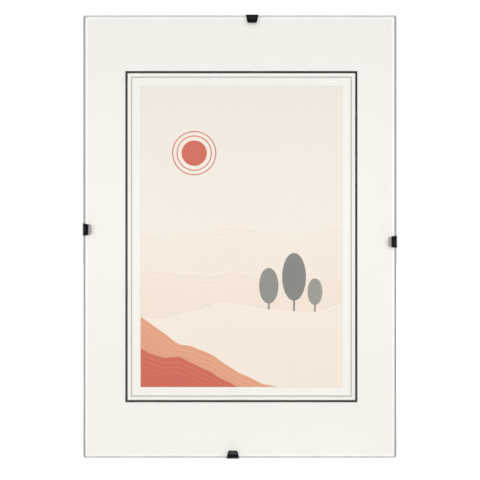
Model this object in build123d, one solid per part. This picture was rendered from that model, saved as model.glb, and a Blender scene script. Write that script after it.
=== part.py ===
from build123d import *
import math
import os

# A frameless clip frame for an A4 picture.
#
# Glass, a card sheet with its tear-out picture panel and a hardboard back lie on each other.
# A bent spring-steel clip on each side holds them: its nose presses on the glass, and the hook at the
# end of its bowed tail sits in a slot of the board. The tail's window is the eye that a nail goes through.
#
# The model is built with X to the right, Y towards the wall and Z up, from the middle of the glass front.
# A clip is drawn on its own edge, where X runs along the edge and Z points outwards, and is then set on
# each side in turn. At the end everything moves so that the origin lies on the wall, behind the nail.

# Glass pane
GLASS_WIDTH = 210.0
GLASS_HEIGHT = 297.0
GLASS_THICKNESS = 2.0
GLASS_BEVEL_WIDTH = 1.4
GLASS_BEVEL_DEPTH = 0.6
GLASS_ARRIS = 0.4
GLASS_CORNER = 1.2

# Card sheet, and the panel that its perforation lets a user tear out
CARD_THICKNESS = 0.3
CARD_INSET = 0.3
WINDOW_WIDTH = 135.3
WINDOW_HEIGHT = 201.9
WINDOW_SHIFT = 1.0
PERFORATION_SLIT = 0.08
TIE_WIDTH = 0.8
TIE_PITCH = 4.0

# Hardboard back
BOARD_THICKNESS = 3.0
BOARD_INSET = 0.4
SLOT_CLEARANCE = 0.75
SLIDE_PLAY = 9.0

# Clip strip and its side profile, from the lip on the glass to the hook in the board
STEEL = 0.4
EDGE_GAP = 0.1
NOSE_REACH = 5.2
NOSE_RISE = 10.0
LIP_FLARE = 28.0
BEAD_INSET = 2.6
BEAD_RADIUS = 2.5
CONTACT_GAP = 0.05
BEND_RADIUS = 0.7
TAIL_GAP = 1.7
BOW_HEIGHT = 3.0
BOW_INSET = 14.0
BOW_RADIUS = 36.0
TAIL_REACH = 30.0
SEAT_GAP = 0.1
HEEL_RADIUS = 0.6
HOOK_DEPTH = 2.2

# Clip outline, as cut from the flat strip
WALL_WIDTH = 8.3
NOSE_TIP_WIDTH = 6.3
NOSE_CORNER = 1.2
TAIL_WIDTH = 21.6
TAIL_CORNER = 1.8
HOOK_WIDTH = 15.0
HOOK_CORNER = 0.8
LEG_WIDTH = 3.0
CROSSBAR = 4.0
EYE_RADIUS = 2.4
EYE_CORNER = 1.6

# How far each clip has been pushed along its slot, clockwise as seen from the front
TOP_SLIDE = 8.2
RIGHT_SLIDE = 3.4
BOTTOM_SLIDE = 4.8
LEFT_SLIDE = 4.8

# Places that several pieces share
CARD_FRONT = GLASS_THICKNESS
BOARD_FRONT = CARD_FRONT + CARD_THICKNESS
BOARD_BACK = BOARD_FRONT + BOARD_THICKNESS
STACK_MIDDLE = BOARD_BACK / 2
TAIL_SHOULDER = TAIL_REACH - STEEL - HEEL_RADIUS
TAIL_TAPER = (TAIL_WIDTH - WALL_WIDTH) / 2 / TAIL_SHOULDER
LEG_ACROSS = LEG_WIDTH / math.cos(math.atan(TAIL_TAPER))
EYE_AT_EDGE = WALL_WIDTH / 2 - LEG_ACROSS
EYE_INSET = (EYE_RADIUS / math.cos(math.atan(TAIL_TAPER)) - EYE_AT_EDGE) / TAIL_TAPER

# Each side's edge of the glass: its middle, its clockwise direction and its outward direction
SIDES = {
    "top": Plane((0, 0, GLASS_HEIGHT / 2), x_dir=(1, 0, 0), z_dir=(0, 0, 1)),
    "right": Plane((GLASS_WIDTH / 2, 0, 0), x_dir=(0, 0, -1), z_dir=(1, 0, 0)),
    "bottom": Plane((0, 0, -GLASS_HEIGHT / 2), x_dir=(-1, 0, 0), z_dir=(0, 0, -1)),
    "left": Plane((-GLASS_WIDTH / 2, 0, 0), x_dir=(0, 0, 1), z_dir=(-1, 0, 0)),
}
SLIDES = {"top": TOP_SLIDE, "right": RIGHT_SLIDE, "bottom": BOTTOM_SLIDE, "left": LEFT_SLIDE}


def slab(outline, front, thickness):
    """A flat piece: an outline seen from the front, drawn out towards the wall."""
    return extrude(Plane.XZ.offset(-front) * outline, amount=-thickness)


def glass_pane():
    """Picture glass with a ground bevel in front, a narrow arris at the back and its corners dubbed off."""
    outline = Rectangle(GLASS_WIDTH, GLASS_HEIGHT)
    outline = chamfer(outline.vertices(), GLASS_CORNER)
    pane = slab(outline, 0, GLASS_THICKNESS)
    back = pane.faces().sort_by(Axis.Y)[-1]
    pane = chamfer(back.edges(), GLASS_ARRIS)
    front = pane.faces().sort_by(Axis.Y)[0]
    return chamfer(front.edges(), GLASS_BEVEL_WIDTH, GLASS_BEVEL_DEPTH, reference=front)


def card_sheet():
    """The card behind the glass, open where its perforated panel sits."""
    outline = Rectangle(GLASS_WIDTH - 2 * CARD_INSET, GLASS_HEIGHT - 2 * CARD_INSET)
    window = Pos(WINDOW_SHIFT, 0) * Rectangle(WINDOW_WIDTH, WINDOW_HEIGHT)
    return slab(outline - window, CARD_FRONT, CARD_THICKNESS)


def picture_panel():
    """The tear-out panel, joined to the edge of its window by the perforation's ties."""
    columns = int(WINDOW_WIDTH / TIE_PITCH)
    rows = int(WINDOW_HEIGHT / TIE_PITCH)
    outline = Rectangle(WINDOW_WIDTH - 2 * PERFORATION_SLIT, WINDOW_HEIGHT - 2 * PERFORATION_SLIT)
    outline += GridLocations(TIE_PITCH, 0, columns, 1) * Rectangle(TIE_WIDTH, WINDOW_HEIGHT)
    outline += GridLocations(0, TIE_PITCH, 1, rows) * Rectangle(WINDOW_WIDTH, TIE_WIDTH)
    return slab(Pos(WINDOW_SHIFT, 0) * outline, CARD_FRONT, CARD_THICKNESS)


def backing_board():
    """The hardboard back, with a slot along each side that lets the clip's hook in and along."""
    outline = Rectangle(GLASS_WIDTH - 2 * BOARD_INSET, GLASS_HEIGHT - 2 * BOARD_INSET)
    board = slab(outline, BOARD_FRONT, BOARD_THICKNESS)
    slot_width = STEEL + 2 * SLOT_CLEARANCE
    slot_length = HOOK_WIDTH + 2 * SLIDE_PLAY + slot_width
    slot_outline = Pos(0, STEEL / 2 - TAIL_REACH) * SlotOverall(slot_length, slot_width)
    slot = slab(slot_outline, BOARD_FRONT, BOARD_THICKNESS)
    for side in SIDES.values():
        board -= side * slot
    return board


def clip_strip():
    """The clip's bent profile, drawn out along the edge, before its outline is cut.

    Points are (towards the wall, outwards) on the face that looks at the glass, the edge and the board.
    """
    rise = math.radians(NOSE_RISE)
    flare = math.radians(LIP_FLARE)
    corner_reach = BEAD_RADIUS / math.cos((rise + flare) / 2)
    corner_lean = (rise - flare) / 2
    bead_y = corner_reach * math.cos(corner_lean) - CONTACT_GAP - BEAD_RADIUS
    bead_z = corner_reach * math.sin(corner_lean) - BEAD_INSET
    lip_tip = (bead_y - (bead_z + NOSE_REACH) * math.tan(flare), -NOSE_REACH)
    front_bend = (bead_y - (EDGE_GAP - bead_z) * math.tan(rise), EDGE_GAP)
    rear_bend = (BOARD_BACK + TAIL_GAP, EDGE_GAP)
    bow = (BOARD_BACK + BOW_HEIGHT, -BOW_INSET)
    heel = (BOARD_BACK + SEAT_GAP, STEEL - TAIL_REACH)
    hook_tip = (BOARD_BACK - HOOK_DEPTH, STEEL - TAIL_REACH)
    inner = FilletPolyline(
        lip_tip,
        (bead_y, bead_z),
        front_bend,
        rear_bend,
        bow,
        heel,
        hook_tip,
        radius=[BEAD_RADIUS, BEND_RADIUS, BEND_RADIUS, BOW_RADIUS, HEEL_RADIUS],
    )
    profile = make_face(inner.offset_2d(STEEL, side=Side.LEFT))
    return extrude(Plane.YZ * profile, amount=TAIL_WIDTH / 2, both=True)


def nose_outline():
    """The clip seen from the front: it narrows from the edge of the glass to a round-cornered tip."""
    outline = Polygon(
        (-WALL_WIDTH / 2, TAIL_REACH),
        (-WALL_WIDTH / 2, 0),
        (-NOSE_TIP_WIDTH / 2, -NOSE_REACH),
        (NOSE_TIP_WIDTH / 2, -NOSE_REACH),
        (WALL_WIDTH / 2, 0),
        (WALL_WIDTH / 2, TAIL_REACH),
        align=None,
    )
    tips = outline.vertices().group_by(Axis.Y)[0]
    return fillet(tips, NOSE_CORNER)


def tail_outline():
    """The clip seen from the back: legs that spread from the edge to a cross-bar with its hook."""
    outline = Polygon(
        (-WALL_WIDTH / 2, TAIL_REACH),
        (-WALL_WIDTH / 2, 0),
        (-TAIL_WIDTH / 2, -TAIL_SHOULDER),
        (TAIL_WIDTH / 2, -TAIL_SHOULDER),
        (WALL_WIDTH / 2, 0),
        (WALL_WIDTH / 2, TAIL_REACH),
        align=None,
    )
    feet = outline.vertices().group_by(Axis.Y)[0]
    tongue = Pos(0, -TAIL_SHOULDER) * Rectangle(HOOK_WIDTH, 2 * (TAIL_REACH - TAIL_SHOULDER + STEEL))
    return fillet(feet, TAIL_CORNER) + tongue


def eye_outline():
    """The hanging eye: a triangle between the legs, with its round top towards the edge."""
    base_inset = TAIL_SHOULDER - CROSSBAR
    base_half = EYE_AT_EDGE + TAIL_TAPER * base_inset
    outline = Triangle(
        a=2 * base_half,
        b=math.hypot(base_half, base_half / TAIL_TAPER),
        c=math.hypot(base_half, base_half / TAIL_TAPER),
        align=(Align.CENTER, Align.MIN),
    )
    outline = Pos(0, -base_inset) * outline
    top = outline.vertices().sort_by(Axis.Y)[-1]
    outline = fillet(top, EYE_RADIUS)
    base = outline.vertices().group_by(Axis.Y)[0]
    return fillet(base, EYE_CORNER)


def clip():
    """One spring clip on the top edge, cut from the bent strip."""
    strip = clip_strip()
    front = slab(nose_outline(), -TAIL_REACH, TAIL_REACH + STACK_MIDDLE)
    back = slab(tail_outline(), STACK_MIDDLE, TAIL_REACH)
    eye = slab(eye_outline(), STACK_MIDDLE, TAIL_REACH)
    body = strip & (front + back - eye)
    hook_corners = body.edges().filter_by(Axis.Z).group_by(Axis.Y)[0]
    return fillet(hook_corners, HOOK_CORNER)


def main():
    """Build every piece, move the origin to the hanging point and write one STEP file for each."""
    spring_clip = clip()
    pieces = {
        "glass_pane": glass_pane(),
        "passepartout_sheet": card_sheet(),
        "picture_panel": picture_panel(),
        "backing_board": backing_board(),
    }
    for name, side in SIDES.items():
        pieces["clip_" + name] = side * Pos(SLIDES[name], 0, 0) * spring_clip
    wall = spring_clip.bounding_box().max.Y
    to_origin = Pos(-TOP_SLIDE, -wall, EYE_INSET - GLASS_HEIGHT / 2)
    os.makedirs("parts", exist_ok=True)
    for name, piece in pieces.items():
        export_step(to_origin * piece, "parts/" + name + ".step")


main()
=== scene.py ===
"""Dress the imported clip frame: picture glass, printed card, hardboard back and four spring clips.

Sizes are in millimetres, and MM turns them into Blender's metres. X runs to the right, Y towards the
wall and Z up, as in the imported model. A clip is drawn on the top edge and then set on its own side.
"""

import itertools
import logging
import math
from abc import ABC, abstractmethod
from collections.abc import Callable, Sequence
from dataclasses import dataclass
from enum import Enum
from functools import partial

import bmesh
import bpy
from mathutils import Euler, Matrix, Vector


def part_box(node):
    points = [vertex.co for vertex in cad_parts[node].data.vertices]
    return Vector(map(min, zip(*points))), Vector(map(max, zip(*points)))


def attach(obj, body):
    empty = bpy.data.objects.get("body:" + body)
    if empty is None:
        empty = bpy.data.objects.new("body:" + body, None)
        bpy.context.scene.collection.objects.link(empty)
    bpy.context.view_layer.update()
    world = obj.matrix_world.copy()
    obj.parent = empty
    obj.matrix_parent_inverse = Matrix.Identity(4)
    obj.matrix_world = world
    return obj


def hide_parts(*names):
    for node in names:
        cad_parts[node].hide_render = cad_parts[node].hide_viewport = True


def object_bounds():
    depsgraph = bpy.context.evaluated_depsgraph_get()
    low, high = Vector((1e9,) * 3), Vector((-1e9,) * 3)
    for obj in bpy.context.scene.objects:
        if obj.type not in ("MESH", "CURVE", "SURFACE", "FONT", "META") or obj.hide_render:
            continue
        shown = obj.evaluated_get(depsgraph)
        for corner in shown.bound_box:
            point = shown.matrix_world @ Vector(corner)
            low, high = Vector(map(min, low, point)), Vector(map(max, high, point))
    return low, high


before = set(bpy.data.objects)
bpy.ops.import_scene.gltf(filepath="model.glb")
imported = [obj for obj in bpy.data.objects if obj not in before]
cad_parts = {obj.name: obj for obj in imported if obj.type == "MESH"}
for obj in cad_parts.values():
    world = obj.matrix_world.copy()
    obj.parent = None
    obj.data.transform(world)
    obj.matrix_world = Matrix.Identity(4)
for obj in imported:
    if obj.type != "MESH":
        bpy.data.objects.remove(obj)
cad_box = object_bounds()

log = logging.getLogger("clip_frame")

Point = tuple[float, float]
Outline = list[Point]
Colour = tuple[float, float, float, float]
Material = bpy.types.Material
Mesh = bpy.types.Mesh
Node = bpy.types.Node
NodeTree = bpy.types.NodeTree
Object = bpy.types.Object
Socket = bpy.types.NodeSocket
Feeds = dict[str | int, object]
Given = dict[str, Socket]
Shaping = Callable[[NodeTree, Given], Node]

MM = 0.001
WHITE = "#FFFFFF"

# Arcs are drawn in steps of the first angle, and bends below the second are shaded smooth
ARC_STEP = math.radians(8)
SMOOTH_ANGLE = math.radians(20)

# The card stops this far short of the glass and the board, so that no two faces lie in one place
SHEET_GAP = 0.02

# Points that are nearer to each other than this, in metres, become one
MERGE_DISTANCE = 1e-6

# An edge of a flat blank that reaches further than this along it, in metres, doesn't run straight across
LEAST_RUN = 1e-5

# Blender's noise has this middle value, and mostly keeps within this swing to either side of it
NOISE_MIDDLE = 0.5
NOISE_SWING = 0.25

# The types of the nodes that are used in several places
BUMP = "ShaderNodeBump"
COMBINE = "ShaderNodeCombineXYZ"
CUBE = "GeometryNodeMeshCube"
INSTANCES = "GeometryNodeInstanceOnPoints"
JOIN = "GeometryNodeJoinGeometry"
LIGHT_PATH = "ShaderNodeLightPath"
MAPPING = "ShaderNodeMapping"
MAP_RANGE = "ShaderNodeMapRange"
MATH = "ShaderNodeMath"
MIX = "ShaderNodeMix"
NOISE = "ShaderNodeTexNoise"
POSITION = "GeometryNodeInputPosition"
PRINCIPLED = "ShaderNodeBsdfPrincipled"
RAMP = "ShaderNodeValToRGB"
SEPARATE = "ShaderNodeSeparateXYZ"
TEXTURE_PLACE = "ShaderNodeTexCoord"
TRANSFORM = "GeometryNodeTransform"
VECTOR_MATH = "ShaderNodeVectorMath"

# The socket that a Geometry Nodes tree takes for each type of value
SOCKET_TYPES = {
    float: "NodeSocketFloat",
    int: "NodeSocketInt",
    Vector: "NodeSocketVector",
    Euler: "NodeSocketRotation",
    Material: "NodeSocketMaterial",
    Object: "NodeSocketObject",
}


class Side(Enum):
    """The sides of the frame, clockwise from the top as seen from the front."""

    TOP = "top"
    RIGHT = "right"
    BOTTOM = "bottom"
    LEFT = "left"

    @property
    def turn(self) -> float:
        """The turn about Y that takes the top side to this one."""
        return list(Side).index(self) * math.pi / 2

    @property
    def outward(self) -> Vector:
        """The direction that leads out of the frame on this side."""
        return Vector((round(math.sin(self.turn)), 0, round(math.cos(self.turn))))


class Slot(Enum):
    """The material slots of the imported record."""

    GLASS = "picture_glass"
    CARD = "white_card"
    PRINT = "printed_card"
    BOARD = "hardboard"
    STEEL = "black_spring_steel"


def linear(colour: str) -> Colour:
    """Turn an sRGB hex colour into linear RGBA.

    Args:
        colour: A hash sign and six hex digits.

    Returns:
        The linear colour, fully opaque.
    """
    channels = [int(colour[start : start + 2], 16) / 255 for start in (1, 3, 5)]
    red, green, blue = (
        channel / 12.92 if channel <= 0.04045 else ((channel + 0.055) / 1.055) ** 2.4 for channel in channels
    )
    return red, green, blue, 1.0


def add_node(tree: NodeTree, kind: str, feeds: Feeds | None = None, **settings: object) -> Node:
    """Add a node with its settings, values and links.

    Args:
        tree: The tree that takes the node.
        kind: The node's type name.
        feeds: For each input, by name or number, the value, hex colour, node or socket that it takes, or a
            list of these.
        settings: The node's own properties, with stops for the places and hex colours of a colour ramp.

    Returns:
        The new node.
    """
    node = tree.nodes.new(kind)
    stops = settings.pop("stops", ())
    for name, setting in settings.items():
        setattr(node, name, setting)
    for number, (place, colour) in enumerate(stops):
        # A new ramp already has its first two stops
        elements = node.color_ramp.elements
        stop = elements[number] if number < 2 else elements.new(place)
        stop.position = place
        stop.color = linear(colour)
    for key, feed in (feeds or {}).items():
        named = [socket for socket in node.inputs if socket.enabled and socket.name == key]
        entry = node.inputs[key] if isinstance(key, int) else named[0]
        for source in feed if isinstance(feed, list) else [feed]:
            if isinstance(source, Node):
                source = next(socket for socket in source.outputs if socket.enabled)
            if isinstance(source, Socket):
                tree.links.new(source, entry)
            else:
                entry.default_value = linear(source) if isinstance(source, str) else source
    return node


def millimetres(tree: NodeTree, zero: Vector) -> Node:
    """Give the surface's Object coordinates in millimetres.

    Args:
        tree: The material's node tree.
        zero: The point of the frame, in metres, that the coordinates count from.

    Returns:
        The node whose first output is the place.
    """
    place = add_node(tree, TEXTURE_PLACE).outputs["Object"]
    scale = (1 / MM, 1 / MM, 1 / MM)
    return add_node(tree, MAPPING, {"Vector": place, "Location": -zero / MM, "Scale": scale})


def mottled(
    tree: NodeTree, place: Node, size: float, detail: float, deep: str, pale: str
) -> tuple[Node, Node]:
    """Mottle a surface between two colours.

    Args:
        tree: The material's node tree.
        place: The place on the surface.
        size: The width of the mottle's patches, in the unit of the place.
        detail: How many finer layers break the patches up.
        deep: The colour of the low patches.
        pale: The colour of the high patches.

    Returns:
        The nodes that give the mottle's height and its colour.
    """
    height = add_node(tree, NOISE, {"Vector": place, "Scale": 1 / size, "Detail": detail})
    return height, add_node(tree, MIX, {"Factor": height, "A": deep, "B": pale}, data_type="RGBA")


def clear_to_light(tree: NodeTree, body: Node, tint: str) -> Node:
    """Show a piece of glass to the eye, and let the studio's light straight through it.

    Args:
        tree: The material's node tree.
        body: The shader that the eye sees.
        tint: The colour of the light that comes through.

    Returns:
        The whole shader.
    """
    clear = add_node(tree, "ShaderNodeBsdfTransparent", {"Color": tint})
    rays = add_node(tree, LIGHT_PATH)
    return add_node(tree, "ShaderNodeMixShader", {0: rays.outputs["Is Camera Ray"], 1: clear, 2: body})


def mirrored_rays(tree: NodeTree, rays: Node) -> Node:
    """Tell the rays that show the studio in gloss or through glass from those that light a surface.

    Args:
        tree: The node tree of the floor or the world.
        rays: The tree's Light Path node.

    Returns:
        The node that is 1 for a ray seen in gloss or through glass.
    """
    glossy = rays.outputs["Is Glossy Ray"]
    through_glass = rays.outputs["Is Transmission Ray"]
    shiny = add_node(tree, MATH, {0: glossy, 1: through_glass}, operation="MAXIMUM")
    return add_node(tree, MATH, {0: shiny, 1: rays.outputs["Diffuse Depth"]}, operation="GREATER_THAN")


def grow(piece: Object, name: str, values: dict[str, object], shaping: Shaping) -> None:
    """Give a piece a Geometry Nodes tree, which ends with real meshes in one material.

    Args:
        piece: The piece that takes the tree as a modifier.
        name: The tree's name.
        values: The name and value of each input, with the material under Material.
        shaping: Adds the nodes between the inputs and the end, and gives the last of them.
    """
    tree = bpy.data.node_groups.new(name, "GeometryNodeTree")
    tree.interface.new_socket(name="Geometry", in_out="INPUT", socket_type="NodeSocketGeometry")
    identifiers = {}
    for label, value in values.items():
        item = tree.interface.new_socket(name=label, in_out="INPUT", socket_type=SOCKET_TYPES[type(value)])
        identifiers[label] = item.identifier
    tree.interface.new_socket(name="Geometry", in_out="OUTPUT", socket_type="NodeSocketGeometry")
    given = {socket.name: socket for socket in add_node(tree, "NodeGroupInput").outputs}
    solid = add_node(tree, "GeometryNodeRealizeInstances", {"Geometry": shaping(tree, given)})
    dressed = add_node(tree, "GeometryNodeSetMaterial", {"Geometry": solid, "Material": given["Material"]})
    add_node(tree, "NodeGroupOutput", {"Geometry": dressed})
    modifier = piece.modifiers.new(name, "NODES")
    modifier.node_group = tree
    for label, value in values.items():
        modifier[identifiers[label]] = value


def box_of(node: str) -> tuple[Vector, Vector]:
    """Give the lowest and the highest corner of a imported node, in millimetres."""
    low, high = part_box(node)
    return low / MM, high / MM


def new_holder(name: str, data: bpy.types.ID) -> Object:
    """Put data into the scene as an object at the origin.

    Args:
        name: The object's name.
        data: The mesh, curve, lamp or camera that it holds.

    Returns:
        The object.
    """
    holder = bpy.data.objects.new(name, data)
    bpy.context.collection.objects.link(holder)
    return holder


def baked(holder: Object) -> Mesh:
    """Give the plain mesh that an object's curve or modifiers come to."""
    depsgraph = bpy.context.evaluated_depsgraph_get()
    return bpy.data.meshes.new_from_object(holder.evaluated_get(depsgraph), depsgraph=depsgraph)


def merge_doubles(mesh: Mesh, recalculate: bool) -> None:
    """Merge the points of a mesh that lie in one place.

    Args:
        mesh: The mesh to clean.
        recalculate: Whether its faces are turned outwards again.
    """
    shape = bmesh.new()
    shape.from_mesh(mesh)
    bmesh.ops.remove_doubles(shape, verts=shape.verts, dist=MERGE_DISTANCE)
    if recalculate:
        bmesh.ops.recalc_face_normals(shape, faces=shape.faces)
    shape.to_mesh(mesh)
    shape.free()


def settle(piece: Object) -> None:
    """Make a piece's modifiers part of its own mesh, and shade its bends smooth.

    Args:
        piece: The piece with its modifiers.
    """
    mesh = baked(piece)
    merge_doubles(mesh, recalculate=False)
    mesh.name = piece.name
    piece.modifiers.clear()
    piece.data = mesh
    mesh.polygons.foreach_set("use_smooth", [True] * len(mesh.polygons))
    mesh.set_sharp_from_angle(angle=SMOOTH_ANGLE)


def stand_for(piece: Object, node: str, body: str) -> None:
    """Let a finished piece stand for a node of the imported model, and report it.

    Args:
        piece: The finished piece.
        node: The node that it replaces.
        body: The body that it moves with.
    """
    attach(piece, body)
    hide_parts(node)
    log.info("%s: %d faces, rides on %s", piece.name, len(piece.data.polygons), body)


def rectangle(low: Point, high: Point) -> Outline:
    """Give the corners of an upright rectangle, counter-clockwise."""
    return [low, (high[0], low[1]), high, (low[0], high[1])]


def rounded_path(corners: Sequence[Point], radii: Sequence[float], closed: bool = True) -> Outline:
    """Round a path's corners with arcs.

    Args:
        corners: The path's sharp corners.
        radii: The radius at each corner, where 0 leaves it sharp.
        closed: Whether the last corner runs on to the first.

    Returns:
        The points of the rounded path.
    """
    path: Outline = []
    for index, radius in enumerate(radii):
        corner = Vector(corners[index])
        if radius == 0 or (not closed and index in (0, len(corners) - 1)):
            path.append(tuple(corner))
            continue
        back = (Vector(corners[index - 1]) - corner).normalized()
        ahead = (Vector(corners[(index + 1) % len(corners)]) - corner).normalized()
        half_angle = back.angle(ahead) / 2
        centre = corner + (back + ahead).normalized() * (radius / math.sin(half_angle))
        arm = corner + back * (radius / math.tan(half_angle)) - centre
        sweep = math.copysign(math.pi - 2 * half_angle, ahead.cross(back))
        steps = max(2, math.ceil(abs(sweep) / ARC_STEP))
        for step in range(steps + 1):
            path.append(tuple(centre + Matrix.Rotation(sweep * step / steps, 2) @ arm))
    return path


def add_spline(curve: bpy.types.Curve, points: Sequence[Sequence[float]], closed: bool) -> None:
    """Add straight lines through points to a curve.

    Args:
        curve: The curve that takes the lines.
        points: The points in metres.
        closed: Whether the last point runs on to the first.
    """
    spline = curve.splines.new("POLY")
    spline.points.add(len(points) - 1)
    for point, place in zip(spline.points, points):
        point.co = (*place, 1.0)
    spline.use_cyclic_u = closed


def filled_mesh(outlines: Sequence[Outline], thickness: float = 0.0) -> Mesh:
    """Fill closed outlines, the inner ones as holes, and draw them out to a plate.

    Args:
        outlines: The outlines in the XY plane, in millimetres.
        thickness: The plate's thickness in millimetres, where 0 gives a single sheet.

    Returns:
        The mesh in metres, with the plate's middle on the XY plane.
    """
    curve = bpy.data.curves.new("outline", "CURVE")
    curve.dimensions = "2D"
    curve.fill_mode = "BOTH"
    curve.extrude = thickness / 2 * MM
    for outline in outlines:
        add_spline(curve, [(across * MM, up * MM, 0.0) for across, up in outline], closed=True)
    holder = new_holder("outline", curve)
    mesh = baked(holder)
    bpy.data.objects.remove(holder)
    bpy.data.curves.remove(curve)
    merge_doubles(mesh, recalculate=thickness > 0)
    return mesh


def standing_plate(name: str, outlines: Sequence[Outline], front: float, back: float) -> Object:
    """Make an upright plate.

    Args:
        name: The piece's name.
        outlines: The outlines as seen from the front, the inner ones as holes.
        front: The place of its front face along Y, in millimetres.
        back: The place of its back face along Y, in millimetres.

    Returns:
        The piece, with its place in its mesh.
    """
    mesh = filled_mesh(outlines, back - front)
    upright = Matrix.Rotation(math.pi / 2, 4, "X")
    mesh.transform(Matrix.Translation((0, (front + back) / 2 * MM, 0)) @ upright)
    return new_holder(name, mesh)


class Finish(ABC):
    """A surface finish that is made as a procedural material."""

    label: str

    @abstractmethod
    def surface(self, tree: NodeTree) -> Node:
        """Build the finish's nodes.

        Args:
            tree: The material's node tree.

        Returns:
            The shader.
        """

    def material(self) -> Material:
        """Make the finish's material.

        Returns:
            The material, named for the finish.
        """
        material = bpy.data.materials.new(self.label)
        material.use_nodes = True
        tree = material.node_tree
        tree.nodes.clear()
        add_node(tree, "ShaderNodeOutputMaterial", {"Surface": self.surface(tree)})
        return material


@dataclass(frozen=True)
class EtchedGlass(Finish):
    """Float glass, lightly etched against glare.

    The eye sees the print through it almost unchanged, and a soft dull sheen in place of a mirror image.
    The etch's pits are some hundredths of a millimetre wide, and are drawn coarser so that they show.
    """

    label: str = "etched_picture_glass"
    tint: str = "#FFFFFE"
    ior: float = 1.52
    specular: float = 0.25
    roughness: float = 0.18
    roughness_spread: float = 0.03
    pit_size: float = 1.2
    pit_detail: float = 3.0

    def surface(self, tree: NodeTree) -> Node:
        """Build a rough glass to the eye, which lets the studio's light straight through to the print.

        Args:
            tree: The material's node tree.

        Returns:
            The shader.
        """
        add = partial(add_node, tree)
        place = millimetres(tree, Vector())
        pits = add(NOISE, {"Vector": place, "Scale": 1 / self.pit_size, "Detail": self.pit_detail})
        smooth = self.roughness - self.roughness_spread
        rough = self.roughness + self.roughness_spread
        body = add(
            PRINCIPLED,
            {
                "Base Color": self.tint,
                "Roughness": add(MAP_RANGE, {"Value": pits, "To Min": smooth, "To Max": rough}),
                "IOR": self.ior,
                "Specular IOR Level": self.specular,
                "Transmission Weight": 1.0,
            },
        )
        return clear_to_light(tree, body, self.tint)


@dataclass(frozen=True)
class GroundEdge(Finish):
    """Glass edge ground on a belt.

    The eye sees a frosted, pale grey-green line, because light that runs along the pane comes out here.
    The belt's scratches run round the pane a few hundredths of a millimetre apart, and are drawn wider.
    """

    label: str
    pale: str
    deep: str
    ior: float = 1.52
    roughness: float = 0.5
    scratch_spacing: float = 0.3
    scratch_length: float = 9.0
    scratch_detail: float = 4.0
    scratch_depth: float = 0.02
    scratch_strength: float = 0.5

    def surface(self, tree: NodeTree) -> Node:
        """Build a frosted glass to the eye, scratched along its edge, which lets light through to the card.

        Args:
            tree: The material's node tree.

        Returns:
            The shader.
        """
        add = partial(add_node, tree)
        density = (1 / self.scratch_length, 1 / self.scratch_spacing, 1 / self.scratch_length)
        stretched = add(MAPPING, {"Vector": millimetres(tree, Vector()), "Scale": density})
        scratches, tone = mottled(tree, stretched, 1.0, self.scratch_detail, self.deep, self.pale)
        depth = self.scratch_depth * MM
        relief = add(BUMP, {"Height": scratches, "Strength": self.scratch_strength, "Distance": depth})
        looks = {"Base Color": tone, "Roughness": self.roughness, "IOR": self.ior, "Normal": relief}
        return clear_to_light(tree, add(PRINCIPLED, looks), WHITE)


@dataclass(frozen=True)
class Rule:
    """A printed line that runs round the window: how far outside its edge, how wide and in which ink."""

    distance: float
    width: float
    ink: str


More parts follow.
